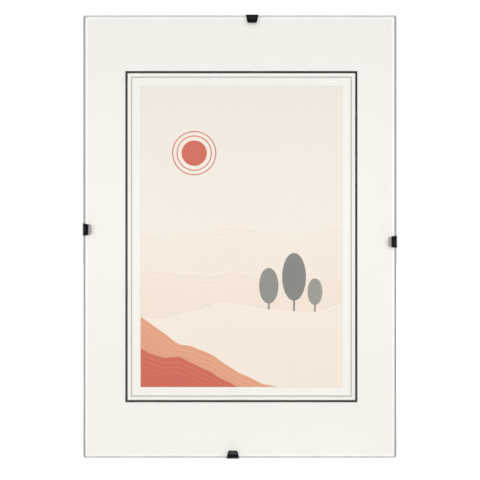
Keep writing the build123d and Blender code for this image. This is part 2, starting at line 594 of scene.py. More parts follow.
@dataclass(frozen=True)
class RuledCard(Finish):
    """Bleached card, machine-smooth, with a printed tint and a printed double rule round its window.

    The eye sees an even warm white with a faint fibre mottle, whiter at the rim, where a painted highlight
    stands for the light that the glass's ground bevel throws on the card, and two lines that keep off the
    window. Single fibres are about 0.03 mm wide, and the mottle is drawn coarser so that it shows. Middles
    are in metres.
    """

    sheet_middle: Vector
    sheet: Point
    window_middle: Vector
    window: Point
    rules: tuple[Rule, ...] = (Rule(6.05, 1.0, "#CBC9C6"), Rule(9.4, 1.55, "#242321"))
    ruled_span: float = 20.0
    label: str = "ruled_white_card"
    pale: str = "#FBF8F6"
    deep: str = "#F5F2F0"
    # The white of the rim is a painted highlight for the light that the glass's ground bevel throws on the
    # card's edge; the width below is how far it reaches, in millimetres
    bare: str = WHITE
    painted_highlight_width: float = 2.4
    ior: float = 1.47
    roughness: float = 0.75
    mottle_size: float = 0.8
    mottle_detail: float = 5.0
    mottle_depth: float = 0.006
    mottle_strength: float = 0.4

    def surface(self, tree: NodeTree) -> Node:
        """Build the card's mottle and painted rim highlight, and print the rules by their distance from the
        window.

        Args:
            tree: The material's node tree.

        Returns:
            The shader.
        """
        add = partial(add_node, tree)
        place = millimetres(tree, self.window_middle)
        mottle, tint = mottled(tree, place, self.mottle_size, self.mottle_detail, self.deep, self.pale)
        from_rim = self.add_distance(tree, self.sheet_middle, self.sheet)
        # Paint a highlight along the card's rim, where the glass's bevel throws more light on it
        in_painted_highlight = add(MATH, {0: from_rim, 1: -self.painted_highlight_width}, operation="GREATER_THAN")
        card = add(MIX, {"Factor": in_painted_highlight, "A": tint, "B": self.bare}, data_type="RGBA")
        from_window = self.add_distance(tree, self.window_middle, self.window)
        share = add(MATH, {0: from_window, 1: self.ruled_span}, operation="DIVIDE")
        stops = [(0.0, WHITE)]
        for rule in self.rules:
            stops.append(((rule.distance - rule.width / 2) / self.ruled_span, rule.ink))
            stops.append(((rule.distance + rule.width / 2) / self.ruled_span, WHITE))
        lines = add(RAMP, {"Fac": share}, stops=stops)
        lines.color_ramp.interpolation = "CONSTANT"
        printed = add(MIX, {"Factor": 1.0, "A": card, "B": lines}, data_type="RGBA", blend_type="MULTIPLY")
        depth = self.mottle_depth * MM
        relief = add(BUMP, {"Height": mottle, "Strength": self.mottle_strength, "Distance": depth})
        looks = {"Base Color": printed, "Roughness": self.roughness, "IOR": self.ior, "Normal": relief}
        return add(PRINCIPLED, looks)

    def add_distance(self, tree: NodeTree, middle: Vector, size: Point) -> Node:
        """Measure how far outside an upright rectangle a place on the card lies.

        Args:
            tree: The material's node tree.
            middle: The rectangle's middle, in metres.
            size: Its width and height, in millimetres.

        Returns:
            The node that gives the distance, which is negative inside.
        """
        add = partial(add_node, tree)
        half_size = (size[0] / 2, 0.0, size[1] / 2)
        from_middle = add(VECTOR_MATH, {0: millimetres(tree, middle)}, operation="ABSOLUTE")
        beyond = add(VECTOR_MATH, {0: from_middle, 1: half_size}, operation="SUBTRACT")
        axes = add(SEPARATE, {0: beyond}).outputs
        return add(MATH, {0: axes["X"], 1: axes["Z"]}, operation="MAXIMUM")


class Motif(ABC):
    """One thing of the printed picture, printed over what is there before it."""

    @abstractmethod
    def print_over(self, tree: NodeTree, place: Node, below: Node) -> Node:
        """Print the motif.

        Args:
            tree: The material's node tree.
            place: The place in millimetres from the panel's lower left corner.
            below: The colour printed so far.

        Returns:
            The colour with the motif over it.
        """


@dataclass(frozen=True)
class Sun(Motif):
    """A disc with thin rings round it."""

    ink: str
    centre: Point
    radius: float
    rings: tuple[float, ...]
    ring_width: float

    def print_over(self, tree: NodeTree, place: Node, below: Node) -> Node:
        """Print the disc and its rings.

        Args:
            tree: The material's node tree.
            place: The place in millimetres from the panel's lower left corner.
            below: The colour printed so far.

        Returns:
            The colour with the sun over it.
        """
        add = partial(add_node, tree)
        centre = (self.centre[0], 0.0, self.centre[1])
        reach = add(VECTOR_MATH, {0: place, 1: centre}, operation="DISTANCE").outputs["Value"]
        inked = add(MATH, {0: reach, 1: self.radius}, operation="LESS_THAN")
        for ring in self.rings:
            on_ring = add(MATH, {0: reach, 1: ring, 2: self.ring_width / 2}, operation="COMPARE")
            inked = add(MATH, {0: inked, 1: on_ring}, operation="MAXIMUM")
        return add(MIX, {"Factor": inked, "A": below, "B": self.ink}, data_type="RGBA")


@dataclass(frozen=True)
class Tree(Motif):
    """A tree with an oval, speckled crown on a thin trunk."""

    pale: str
    deep: str
    centre: Point
    half_size: Point
    trunk_width: float = 1.3
    trunk_length: float = 8.0
    speckle_size: float = 1.4
    speckle_detail: float = 3.0

    def print_over(self, tree: NodeTree, place: Node, below: Node) -> Node:
        """Print the trunk and the crown.

        Args:
            tree: The material's node tree.
            place: The place in millimetres from the panel's lower left corner.
            below: The colour printed so far.

        Returns:
            The colour with the tree over it.
        """
        add = partial(add_node, tree)
        centre = (self.centre[0], 0.0, self.centre[1])
        crown_size = (self.half_size[0], 1.0, self.half_size[1])
        trunk_size = (self.trunk_width / 2, 1.0, self.half_size[1] + self.trunk_length)
        from_centre = add(VECTOR_MATH, {0: place, 1: centre}, operation="SUBTRACT")
        crown_share = add(VECTOR_MATH, {0: from_centre, 1: crown_size}, operation="DIVIDE")
        reach = add(VECTOR_MATH, {0: crown_share}, operation="LENGTH").outputs["Value"]
        crown = add(MATH, {0: reach, 1: 1.0}, operation="LESS_THAN")
        trunk_share = add(VECTOR_MATH, {0: from_centre, 1: trunk_size}, operation="DIVIDE")
        sides = add(SEPARATE, {0: trunk_share}).outputs
        across = add(MATH, {0: sides["X"], 1: 0.0, 2: 1.0}, operation="COMPARE")
        under = add(MATH, {0: sides["Z"], 1: -0.5, 2: 0.5}, operation="COMPARE")
        trunk = add(MATH, {0: across, 1: under}, operation="MULTIPLY")
        inked = add(MATH, {0: crown, 1: trunk}, operation="MAXIMUM")
        leaves = mottled(tree, place, self.speckle_size, self.speckle_detail, self.deep, self.pale)[1]
        return add(MIX, {"Factor": inked, "A": below, "B": leaves}, data_type="RGBA")


@dataclass(frozen=True)
class Hill(Motif):
    """A ridge with a wavy crest and fine contour lines under it."""

    ink: str
    line_ink: str
    crest: float
    fall: float
    swell: float
    wave: float
    seed: float
    wave_detail: float = 2.0
    wave_roughness: float = 0.35
    contour_spacing: float = 3.4
    contour_width: float = 0.5
    contour_reach: float = 19.0

    def print_over(self, tree: NodeTree, place: Node, below: Node) -> Node:
        """Print the ridge, whose crest falls towards the right by its own share.

        Args:
            tree: The material's node tree.
            place: The place in millimetres from the panel's lower left corner.
            below: The colour printed so far.

        Returns:
            The colour with the ridge over it.
        """
        add = partial(add_node, tree)
        axes = add(SEPARATE, {0: place}).outputs
        along = add(MATH, {0: axes["X"], 1: 1 / self.wave, 2: self.seed}, operation="MULTIPLY_ADD")
        waves = {"W": along, "Scale": 1.0, "Detail": self.wave_detail, "Roughness": self.wave_roughness}
        ripple = add(NOISE, waves, noise_dimensions="1D")
        level = add(MATH, {0: axes["X"], 1: -self.fall, 2: self.crest}, operation="MULTIPLY_ADD")
        swing = add(MATH, {0: ripple, 1: NOISE_MIDDLE}, operation="SUBTRACT")
        crest = add(MATH, {0: swing, 1: self.swell / NOISE_SWING, 2: level}, operation="MULTIPLY_ADD")
        depth = add(MATH, {0: crest, 1: axes["Z"]}, operation="SUBTRACT")
        inside = add(MATH, {0: depth, 1: 0.0}, operation="GREATER_THAN")
        step = add(MATH, {0: depth, 1: self.contour_spacing}, operation="FLOORED_MODULO")
        line = add(MATH, {0: step, 1: self.contour_width}, operation="LESS_THAN")
        fade = add(MAP_RANGE, {"Value": depth, "From Max": self.contour_reach, "To Min": 1.0, "To Max": 0.0})
        lined = add(MATH, {0: line, 1: fade}, operation="MULTIPLY")
        ink = add(MIX, {"Factor": lined, "A": self.ink, "B": self.line_ink}, data_type="RGBA")
        return add(MIX, {"Factor": inside, "A": below, "B": ink}, data_type="RGBA")


@dataclass(frozen=True)
class LandscapePrint(Finish):
    """Offset print on smooth card: a pale landscape of hills and trees under a small sun.

    The eye sees flat warm inks with clean edges and fine contour lines, a little mottled by the card.
    The print's screen dots are 0.15 mm apart, and their mottle is drawn coarser so that it shows.
    """

    corner: Vector
    height: float
    label: str = "printed_picture_card"
    sky: str = "#F6EEE6"
    haze: str = "#F8EFE6"
    motifs: tuple[Motif, ...] = (
        Sun("#D9614A", (36.0, 157.0), 8.5, (11.5, 14.5), 0.7),
        Hill("#F7ECE1", "#FBF4EC", 104.0, -0.02, 6.0, 42.0, 3.1),
        Hill("#F6E7DB", "#FAF1E8", 78.0, 0.05, 6.0, 50.0, 8.4),
        Tree("#9B9A95", "#7F7E7A", (86.0, 68.0), (6.5, 12.0)),
        Tree("#8E8D88", "#73726E", (103.0, 74.0), (8.0, 16.0)),
        Tree("#A6A5A0", "#898884", (117.0, 64.0), (5.0, 9.0)),
        Hill("#F9EEE3", "#FCF5ED", 50.0, -0.03, 4.0, 46.0, 14.2),
        Hill("#E8A07C", "#F0BDA2", 47.0, 0.55, 4.0, 36.0, 21.9),
        Hill("#D45F48", "#E0836D", 29.0, 0.42, 3.0, 30.0, 33.3),
    )
    ior: float = 1.5
    roughness: float = 0.55
    mottle_size: float = 0.6
    mottle_detail: float = 4.0
    mottle_share: float = 0.04

    def surface(self, tree: NodeTree) -> Node:
        """Print the sky and then each motif over what is there.

        Args:
            tree: The material's node tree.

        Returns:
            The shader.
        """
        add = partial(add_node, tree)
        place = millimetres(tree, self.corner)
        axes = add(SEPARATE, {0: place}).outputs
        rise = add(MATH, {0: axes["Z"], 1: self.height}, operation="DIVIDE")
        picture = add(RAMP, {"Fac": rise}, stops=[(0.0, self.haze), (1.0, self.sky)])
        for motif in self.motifs:
            picture = motif.print_over(tree, place, picture)
        mottle = add(NOISE, {"Vector": place, "Scale": 1 / self.mottle_size, "Detail": self.mottle_detail})
        tone = add(MAP_RANGE, {"Value": mottle, "To Min": 1 - self.mottle_share, "To Max": 1.0})
        printed = add(MIX, {"Factor": 1.0, "A": picture, "B": tone}, data_type="RGBA", blend_type="MULTIPLY")
        return add(PRINCIPLED, {"Base Color": printed, "Roughness": self.roughness, "IOR": self.ior})


@dataclass(frozen=True)
class Hardboard(Finish):
    """Wet-pressed hardboard.

    The eye sees matted brown fibres that lie every way, dark specks of bark, and a back whose pressed
    squares are burnished by the wire screen while the grooves between them stay dull and dark. The wires
    of such a screen are under 2 mm apart, and both the squares and the fibres are drawn coarser to show.
    """

    middle: Vector
    back: float
    relief: float
    label: str = "pressed_hardboard"
    dark: str = "#5A3D27"
    brown: str = "#845F40"
    pale: str = "#AB8259"
    bark: str = "#3C281B"
    groove: str = "#684930"
    groove_share: float = 0.55
    ior: float = 1.5
    dull: float = 0.8
    burnished: float = 0.5
    fibre_length: float = 5.0
    fibre_width: float = 0.45
    fibre_turns: tuple[float, ...] = (25.0, 95.0, 150.0)
    fibre_detail: float = 3.0
    fibre_curl: float = 0.6
    fibre_depth: float = 0.03
    fibre_strength: float = 0.6
    dark_height: float = 0.36
    brown_height: float = 0.5
    pale_height: float = 0.64
    speck_spacing: float = 7.0
    speck_detail: float = 6.0
    speck_roughness: float = 0.75
    speck_edge: Point = (0.64, 0.72)

    def surface(self, tree: NodeTree) -> Node:
        """Build crossing fibres, bark specks and the screen's burnish.

        Args:
            tree: The material's node tree.

        Returns:
            The shader.
        """
        add = partial(add_node, tree)
        place = millimetres(tree, self.middle)
        fibres = self.add_fibres(tree, place)
        ends = [(self.dark_height, self.dark), (self.pale_height, self.pale)]
        brown = add(RAMP, {"Fac": fibres}, stops=[*ends, (self.brown_height, self.brown)])
        specks = add(
            NOISE,
            {
                "Vector": place,
                "Scale": 1 / self.speck_spacing,
                "Detail": self.speck_detail,
                "Roughness": self.speck_roughness,
            },
        )
        least, most = self.speck_edge
        barky = add(MAP_RANGE, {"Value": specks, "From Min": least, "From Max": most}, clamp=True)
        speckled = add(MIX, {"Factor": barky, "A": brown, "B": self.bark}, data_type="RGBA")
        groove = add(MIX, {"Factor": self.groove_share, "A": speckled, "B": self.groove}, data_type="RGBA")
        depth = add(SEPARATE, {0: place}).outputs["Y"]
        ground = self.back - self.relief
        height = add(MAP_RANGE, {"Value": depth, "From Min": ground, "From Max": self.back}, clamp=True)
        tone = add(MIX, {"Factor": height, "A": groove, "B": speckled}, data_type="RGBA")
        roughness = add(MAP_RANGE, {"Value": height, "To Min": self.dull, "To Max": self.burnished})
        fibre_depth = self.fibre_depth * MM
        relief = add(BUMP, {"Height": fibres, "Strength": self.fibre_strength, "Distance": fibre_depth})
        looks = {"Base Color": tone, "Roughness": roughness, "IOR": self.ior, "Normal": relief}
        return add(PRINCIPLED, looks)

    def add_fibres(self, tree: NodeTree, place: Node) -> Node:
        """Lay fibres in several directions over each other.

        Args:
            tree: The material's node tree.
            place: The place in millimetres.

        Returns:
            The node that gives the fibres' mean height.
        """
        add = partial(add_node, tree)
        density = (1 / self.fibre_length, 1 / self.fibre_width, 1 / self.fibre_width)
        total: Node | float = 0.0
        for number, turn in enumerate(self.fibre_turns):
            turned = add(MAPPING, {"Vector": place, "Rotation": (0.0, math.radians(turn), 0.0)})
            shift = (number, number, number)
            stretched = add(MAPPING, {"Vector": turned, "Location": shift, "Scale": density})
            strands = {"Scale": 1.0, "Detail": self.fibre_detail, "Distortion": self.fibre_curl}
            layer = add(NOISE, {"Vector": stretched, **strands})
            total = add(MATH, {0: total, 1: layer}, operation="ADD")
        return add(MATH, {0: total, 1: len(self.fibre_turns)}, operation="DIVIDE")


@dataclass(frozen=True)
class EnamelledSteel(Finish):
    """Spring steel under black stove enamel.

    The eye sees a deep black with a soft sheen, broken by the enamel's faint orange peel. The peel's
    ripples are about half a millimetre across, which shows only close by.
    """

    label: str = "black_enamelled_spring_steel"
    deep: str = "#09090A"
    dusty: str = "#141416"
    ior: float = 1.5
    gloss: float = 0.13
    matt: float = 0.19
    patch_size: float = 3.0
    patch_detail: float = 4.0
    peel_size: float = 0.5
    peel_detail: float = 1.0
    peel_depth: float = 0.006
    peel_strength: float = 0.3

    def surface(self, tree: NodeTree) -> Node:
        """Build an enamel that is duller in patches.

        Args:
            tree: The material's node tree.

        Returns:
            The shader.
        """
        add = partial(add_node, tree)
        place = millimetres(tree, Vector())
        patches, tone = mottled(tree, place, self.patch_size, self.patch_detail, self.deep, self.dusty)
        roughness = add(MAP_RANGE, {"Value": patches, "To Min": self.gloss, "To Max": self.matt})
        peel = add(NOISE, {"Vector": place, "Scale": 1 / self.peel_size, "Detail": self.peel_detail})
        depth = self.peel_depth * MM
        relief = add(BUMP, {"Height": peel, "Strength": self.peel_strength, "Distance": depth})
        looks = {"Base Color": tone, "Roughness": roughness, "IOR": self.ior, "Normal": relief}
        return add(PRINCIPLED, looks)


@dataclass(frozen=True)
class RubbedSteel(Finish):
    """The punched rims of a clip, where handling has thinned the enamel.

    The eye sees a thin broken glint of dark steel along the rims.
    """

    label: str = "rubbed_steel_rim"
    enamel: str = "#0E0E10"
    steel: str = "#6E6D6B"
    roughness: float = 0.36
    patch_size: float = 1.6
    patch_detail: float = 5.0
    patch_edge: Point = (0.46, 0.6)

    def surface(self, tree: NodeTree) -> Node:
        """Build steel that shows where the enamel is rubbed through.

        Args:
            tree: The material's node tree.

        Returns:
            The shader.
        """
        add = partial(add_node, tree)
        place = millimetres(tree, Vector())
        patches = add(NOISE, {"Vector": place, "Scale": 1 / self.patch_size, "Detail": self.patch_detail})
        least, most = self.patch_edge
        bare = add(MAP_RANGE, {"Value": patches, "From Min": least, "From Max": most}, clamp=True)
        tone = add(MIX, {"Factor": bare, "A": self.enamel, "B": self.steel}, data_type="RGBA")
        return add(PRINCIPLED, {"Base Color": tone, "Metallic": bare, "Roughness": self.roughness})


@dataclass(frozen=True)
class StudioFloor(Finish):
    """Matt white board under the frame.

    The eye sees plain white, and close to the frame its faint shadow. The board looks brighter than it
    lights the frame.
    """

    foot: Vector
    label: str = "matt_white_floor"
    white: str = "#C8C7C5"
    lift: float = 0.8
    shaded_radius: float = 120.0
    white_radius: float = 420.0
    dim_front: float = -500.0
    white_front: float = -150.0
    roughness: float = 0.9

    def surface(self, tree: NodeTree) -> Node:
        """Build a board that the camera, gloss and glass see as white away from the frame.

        Args:
            tree: The material's node tree.

        Returns:
            The shader.
        """
        add = partial(add_node, tree)
        place = millimetres(tree, self.foot)
        distance = add(VECTOR_MATH, {0: place}, operation="LENGTH").outputs["Value"]
        ring = {"From Min": self.shaded_radius, "From Max": self.white_radius}
        level = add(MAP_RANGE, {"Value": distance, "To Min": self.lift, **ring})
        depth = add(SEPARATE, {0: place}).outputs["Y"]
        behind = add(MAP_RANGE, {"Value": depth, "From Min": self.dim_front, "From Max": self.white_front})
        rays = add(LIGHT_PATH)
        mirrored = add(MATH, {0: mirrored_rays(tree, rays), 1: behind}, operation="MULTIPLY")
        seen = add(MATH, {0: rays.outputs["Is Camera Ray"], 1: mirrored}, operation="MAXIMUM")
        glow = add(MATH, {0: seen, 1: level}, operation="MULTIPLY")
        return add(
            PRINCIPLED,
            {
                "Base Color": self.white,
                "Roughness": self.roughness,
                "Specular IOR Level": 0.0,
                "Emission Color": WHITE,
                "Emission Strength": glow,
            },
        )


@dataclass
class GlassPane:
    """The sheet of picture glass, with a ground bevel in front, a narrow arris behind and dubbed corners."""

    bevel_width: float = 1.4
    bevel_depth: float = 0.6
    arris: float = 0.4
    corner: float = 1.2
    # Both pairs are the same ground glass: the long edges are painted darker as painted shade and the short
    # edges paler as painted light, for how the light falls on them
    shaded_long_edge: tuple[str, str] = ("#B1B5B2", "#9EA39F")
    lit_short_edge: tuple[str, str] = ("#E0E2E0", "#D3D6D4")
    face_squareness: float = 0.99

    def build(self) -> None:
        """Build the pane ring by ring from front to back, and tell its faces from its ground edges."""
        low, high = box_of("glass_pane")
        insets = (self.bevel_width, 0.0, 0.0, self.arris)
        depths = (low.y, low.y + self.bevel_depth, high.y - self.arris, high.y)
        shape = bmesh.new()
        rings = [self.ring(shape, low, high, inset, depth) for inset, depth in zip(insets, depths)]
        shape.faces.new(rings[0])
        shape.faces.new(rings[-1])
        for front, back in zip(rings, rings[1:]):
            for index in range(len(front)):
                shape.faces.new((front[index - 1], front[index], back[index], back[index - 1]))
        bmesh.ops.recalc_face_normals(shape, faces=shape.faces)
        mesh = bpy.data.meshes.new("picture_glass_pane")
        shape.to_mesh(mesh)
        shape.free()
        mesh.materials.append(EtchedGlass().material())
        # The same ground edge in two tones: painted shade on the long edges, painted light on the short ones
        mesh.materials.append(GroundEdge("ground_long_edge", *self.shaded_long_edge).material())
        mesh.materials.append(GroundEdge("ground_short_edge", *self.lit_short_edge).material())
        for face in mesh.polygons:
            if abs(face.normal.y) < self.face_squareness:
                face.material_index = 1 if abs(face.normal.x) > abs(face.normal.z) else 2
        stand_for(new_holder("picture_glass_pane", mesh), "glass_pane", "stack")

    def ring(
        self, shape: bmesh.types.BMesh, low: Vector, high: Vector, inset: float, depth: float
    ) -> list[bmesh.types.BMVert]:
        """Add the corner points of the pane's outline, drawn in by an inset.

        Args:
            shape: The mesh that takes the points.
            low: The pane's lowest corner.
            high: The pane's highest corner.
            inset: How far the outline is drawn in.
            depth: The outline's place along Y.

        Returns:
            The eight points, counter-clockwise as seen from the front.
        """
        cut = self.corner - inset * (2 - math.sqrt(2))
        left, right = low.x + inset, high.x - inset
        bottom, top = low.z + inset, high.z - inset
        points = [
            (left + cut, bottom),
            (right - cut, bottom),
            (right, bottom + cut),
            (right, top - cut),
            (right - cut, top),
            (left + cut, top),
            (left, top - cut),
            (left, bottom + cut),
        ]
        return [shape.verts.new(Vector((across, depth, up)) * MM) for across, up in points]


@dataclass
class CardInsert:
    """The printed insert: a ruled card sheet and the picture panel that its perforation holds."""

    slit: float = 0.08
    tie_width: float = 0.8
    tie_pitch: float = 4.0

    def build(self) -> None:
        """Build the sheet and its panel."""
        self.build_sheet()
        self.build_panel()

    def build_sheet(self) -> None:
        """Build the card sheet with its window."""
        low, high = box_of("passepartout_sheet")
        window_low, window_high = box_of("picture_panel")
        outer = rectangle((low.x, low.z), (high.x, high.z))
        window = rectangle((window_low.x, window_low.z), (window_high.x, window_high.z))
        sheet = standing_plate("ruled_card_sheet", [outer, window], low.y + SHEET_GAP, high.y - SHEET_GAP)
        size = high - low
        window_size = window_high - window_low
        finish = RuledCard(
            (low + high) / 2 * MM,
            (size.x, size.z),
            (window_low + window_high) / 2 * MM,
            (window_size.x, window_size.z),
        )
        sheet.data.materials.append(finish.material())
        stand_for(sheet, "passepartout_sheet", "stack")

    def build_panel(self) -> None:
        """Build the picture panel and the ties of its perforation."""
        low, high = box_of("picture_panel")
        front = low.y + SHEET_GAP
        back = high.y - SHEET_GAP
        inner = rectangle((low.x + self.slit, low.z + self.slit), (high.x - self.slit, high.z - self.slit))
        panel = standing_plate("picture_card_panel", [inner], front, back)
        size = high - low
        corner = Vector((low.x, front, low.z)) * MM
        values = {
            "Width": size.x * MM,
            "Height": size.z * MM,
            "Thickness": (back - front) * MM,
            "Middle": (low + high) / 2 * MM,
            "Columns": int(size.x / self.tie_pitch),
            "Rows": int(size.z / self.tie_pitch),
            "Pitch": self.tie_pitch * MM,
            "Tie Width": self.tie_width * MM,
            "Slit": self.slit * MM,
            "Material": LandscapePrint(corner, size.z).material(),
        }
        grow(panel, "perforation_ties", values, self.perforate)
        settle(panel)
        stand_for(panel, "picture_panel", "stack")

    def perforate(self, tree: NodeTree, given: Given) -> Node:
        """Set a row of ties along each edge of the panel.

        Args:
            tree: The tree that takes the nodes.
            given: The tree's inputs.

        Returns:
            The node that gives the panel with its ties.
        """
        add = partial(add_node, tree)
        rows: list[Socket | Node] = [given["Geometry"]]
        for along, across, count, reach in (("X", "Z", "Columns", "Height"), ("Z", "X", "Rows", "Width")):
            size = add(COMBINE, {along: given["Tie Width"], "Y": given["Thickness"], across: given["Slit"]})
            tie = add(CUBE, {"Size": size})
            step = add(COMBINE, {along: given["Pitch"]})
            line = add("GeometryNodeMeshLine", {"Count": given[count], "Offset": step})
            ties = add(INSTANCES, {"Points": line, "Instance": tie})
            steps = add(MATH, {0: given[count], 1: 1.0}, operation="SUBTRACT")
            length = add(MATH, {0: steps, 1: given["Pitch"]}, operation="MULTIPLY")
            start = add(MATH, {0: length, 1: -0.5}, operation="MULTIPLY")
            inner_reach = add(MATH, {0: given[reach], 1: given["Slit"]}, operation="SUBTRACT")
            for half in (0.5, -0.5):
                edge = add(MATH, {0: inner_reach, 1: half}, operation="MULTIPLY")
                offset = add(COMBINE, {along: start, across: edge})
                place = add(VECTOR_MATH, {0: given["Middle"], 1: offset}, operation="ADD")
                rows.append(add(TRANSFORM, {"Geometry": ties, "Translation": place}))
        return add(JOIN, {"Geometry": rows})


@dataclass
class BackingBoard:
    """The hardboard back, with its four slots and the wire screen's print on its back."""

    slot_inset: float = 29.8
    slot_length: float = 34.9
    slot_width: float = 1.9
    slot_roundness: float = 0.999
    relief: float = 0.12
    screen_pitch: float = 2.5
    pad_size: float = 1.75
    pad_sink: float = 0.05
    pad_stretch: float = 1.16
    pad_taper: float = 0.78
    pad_least: tuple[float, float, float] = (0.88, 0.88, 0.8)
    seed: int = 5

    def build(self) -> None:
        """Build the slotted board and press the screen's pads into its back."""
        low, high = box_of("backing_board")
        glass_low, glass_high = box_of("glass_pane")
        middle = (glass_low + glass_high) / 2
        slot_reach = (glass_high - glass_low) / 2 - Vector((1, 0, 1)) * self.slot_inset
        outlines = [rectangle((low.x, low.z), (high.x, high.z))]
        for side in Side:
            outlines.append(self.slot(side, middle, slot_reach))
        ground = high.y - self.relief
        board = standing_plate("hardboard_back", outlines, low.y, ground)
        size = high - low
        columns = int(size.x / self.screen_pitch)
        rows = int(size.z / self.screen_pitch)
        zero = Vector((middle.x, 0.0, middle.z)) * MM
        pad_clear = self.pad_size * self.pad_stretch / 2
        values = {
            "Columns": columns,
            "Rows": rows,
            "Width": (columns - 1) * self.screen_pitch * MM,
            "Height": (rows - 1) * self.screen_pitch * MM,
            "Pad": self.pad_size * MM,
            "Relief": self.relief * MM,
            "Sink": self.pad_sink * MM,
            "Stretch": self.pad_stretch,
            "Taper": self.pad_taper,
            "Least": Vector(self.pad_least),
            "Slot Across": (self.slot_width / 2 + pad_clear) * MM,
            "Slot Along": (self.slot_length / 2 + pad_clear) * MM,
            "Slot Reach X": slot_reach.x * MM,
            "Slot Reach Y": slot_reach.z * MM,
            "Ground": Vector((middle.x, ground, middle.z)) * MM,
            "Seed": self.seed,
            "Material": Hardboard(zero, high.y, self.relief).material(),
        }
        grow(board, "screen_back", values, self.press_screen)
        settle(board)
        stand_for(board, "backing_board", "stack")

    def slot(self, side: Side, middle: Vector, reach: Vector) -> Outline:
        """Give the outline of one slot.

        Args:
            side: The side that the slot lies along.
            middle: The middle of the frame.
            reach: How far from the middle the slots lie, along X and Z.

        Returns:
            The slot's outline as seen from the front.
        """
        outward = side.outward
        half_length = self.slot_length / 2
        half_width = self.slot_width / 2
        across, up = middle.x + outward.x * reach.x, middle.z + outward.z * reach.z
        half_across, half_up = (half_width, half_length) if outward.x else (half_length, half_width)
        corners = rectangle((across - half_across, up - half_up), (across + half_across, up + half_up))
        return rounded_path(corners, [half_width * self.slot_roundness] * 4)

    def press_screen(self, tree: NodeTree, given: Given) -> Node:
        """Press a woven wire screen's pads onto the board's back, clear of its slots.

        Args:
            tree: The tree that takes the nodes.
            given: The tree's inputs.

        Returns:
            The node that gives the board with its pads.
        """
        add = partial(add_node, tree)
        size = {"Size X": given["Width"], "Size Y": given["Height"]}
        counts = {"Vertices X": given["Columns"], "Vertices Y": given["Rows"]}
        grid = add("GeometryNodeMeshGrid", {**size, **counts})
        from_middle = add(VECTOR_MATH, {0: add(POSITION)}, operation="ABSOLUTE")
        axes = add(SEPARATE, {0: from_middle}).outputs
        over = []
        for across, along in (("X", "Y"), ("Y", "X")):
            reach = given["Slot Reach " + across]
            near = add(MATH, {0: axes[across], 1: reach, 2: given["Slot Across"]}, operation="COMPARE")
            beside = add(MATH, {0: axes[along], 1: given["Slot Along"]}, operation="LESS_THAN")
            over.append(add(MATH, {0: near, 1: beside}, operation="MULTIPLY"))
        over_slot = add(MATH, {0: over[0], 1: over[1]}, operation="MAXIMUM")
        points = add("GeometryNodeDeleteGeometry", {"Geometry": grid, "Selection": over_slot})
        pads = {"Points": points, "Instance": self.add_pad(tree, given), "Scale": self.add_weave(tree, given)}
        turn = (-math.pi / 2, 0.0, 0.0)
        laid = {"Geometry": add(INSTANCES, pads), "Translation": given["Ground"], "Rotation": turn}
        return add(JOIN, {"Geometry": [given["Geometry"], add(TRANSFORM, laid)]})

    def add_weave(self, tree: NodeTree, given: Given) -> Node:
        """Stretch the pads across and along by turns, as a weave does, and make them a little uneven.

        Args:
            tree: The tree that takes the nodes.
            given: The tree's inputs.

        Returns:
            The node that gives each pad's scale.
        """
        add = partial(add_node, tree)
        index = add("GeometryNodeInputIndex")
        column = add(MATH, {0: index, 1: given["Rows"]}, operation="DIVIDE")
        column_number = add(MATH, {0: column}, operation="FLOOR")
        count = add(MATH, {0: index, 1: column_number}, operation="ADD")
        woven = add(MATH, {0: count, 1: 2.0}, operation="MODULO")
        narrow = add(MATH, {0: 1.0, 1: given["Stretch"]}, operation="DIVIDE")
        lying = add(COMBINE, {"X": given["Stretch"], "Y": narrow, "Z": 1.0})
        standing = add(COMBINE, {"X": narrow, "Y": given["Stretch"], "Z": 1.0})
        weave = add(MIX, {"Factor": woven, "A": lying, "B": standing}, data_type="VECTOR")
        spread = {"Min": given["Least"], "Max": (1.0, 1.0, 1.0), "Seed": given["Seed"]}
        uneven = add("FunctionNodeRandomValue", spread, data_type="FLOAT_VECTOR")
        return add(VECTOR_MATH, {0: weave, 1: uneven}, operation="MULTIPLY")

    def add_pad(self, tree: NodeTree, given: Given) -> Node:
        """Shape one pad, which narrows towards its top and sinks a little into the board.

        Args:
            tree: The tree that takes the nodes.
            given: The tree's inputs.

        Returns:
            The node that gives the pad.
        """
        add = partial(add_node, tree)
        height = add(MATH, {0: given["Relief"], 1: given["Sink"]}, operation="ADD")
        cube = add(CUBE, {"Size": add(COMBINE, {"X": given["Pad"], "Y": given["Pad"], "Z": height})})
        lift = add(MATH, {0: given["Relief"], 1: given["Sink"]}, operation="SUBTRACT")
        half_lift = add(MATH, {0: lift, 1: 0.5}, operation="MULTIPLY")
        pad = add(TRANSFORM, {"Geometry": cube, "Translation": add(COMBINE, {"Z": half_lift})})
        facing = add(SEPARATE, {0: add("GeometryNodeInputNormal")}).outputs
        on_top = add(MATH, {0: facing["Z"], 1: 0.5}, operation="GREATER_THAN")
        tapered = {"Geometry": pad, "Selection": on_top, "Scale": given["Taper"]}
        return add("GeometryNodeScaleElements", tapered)


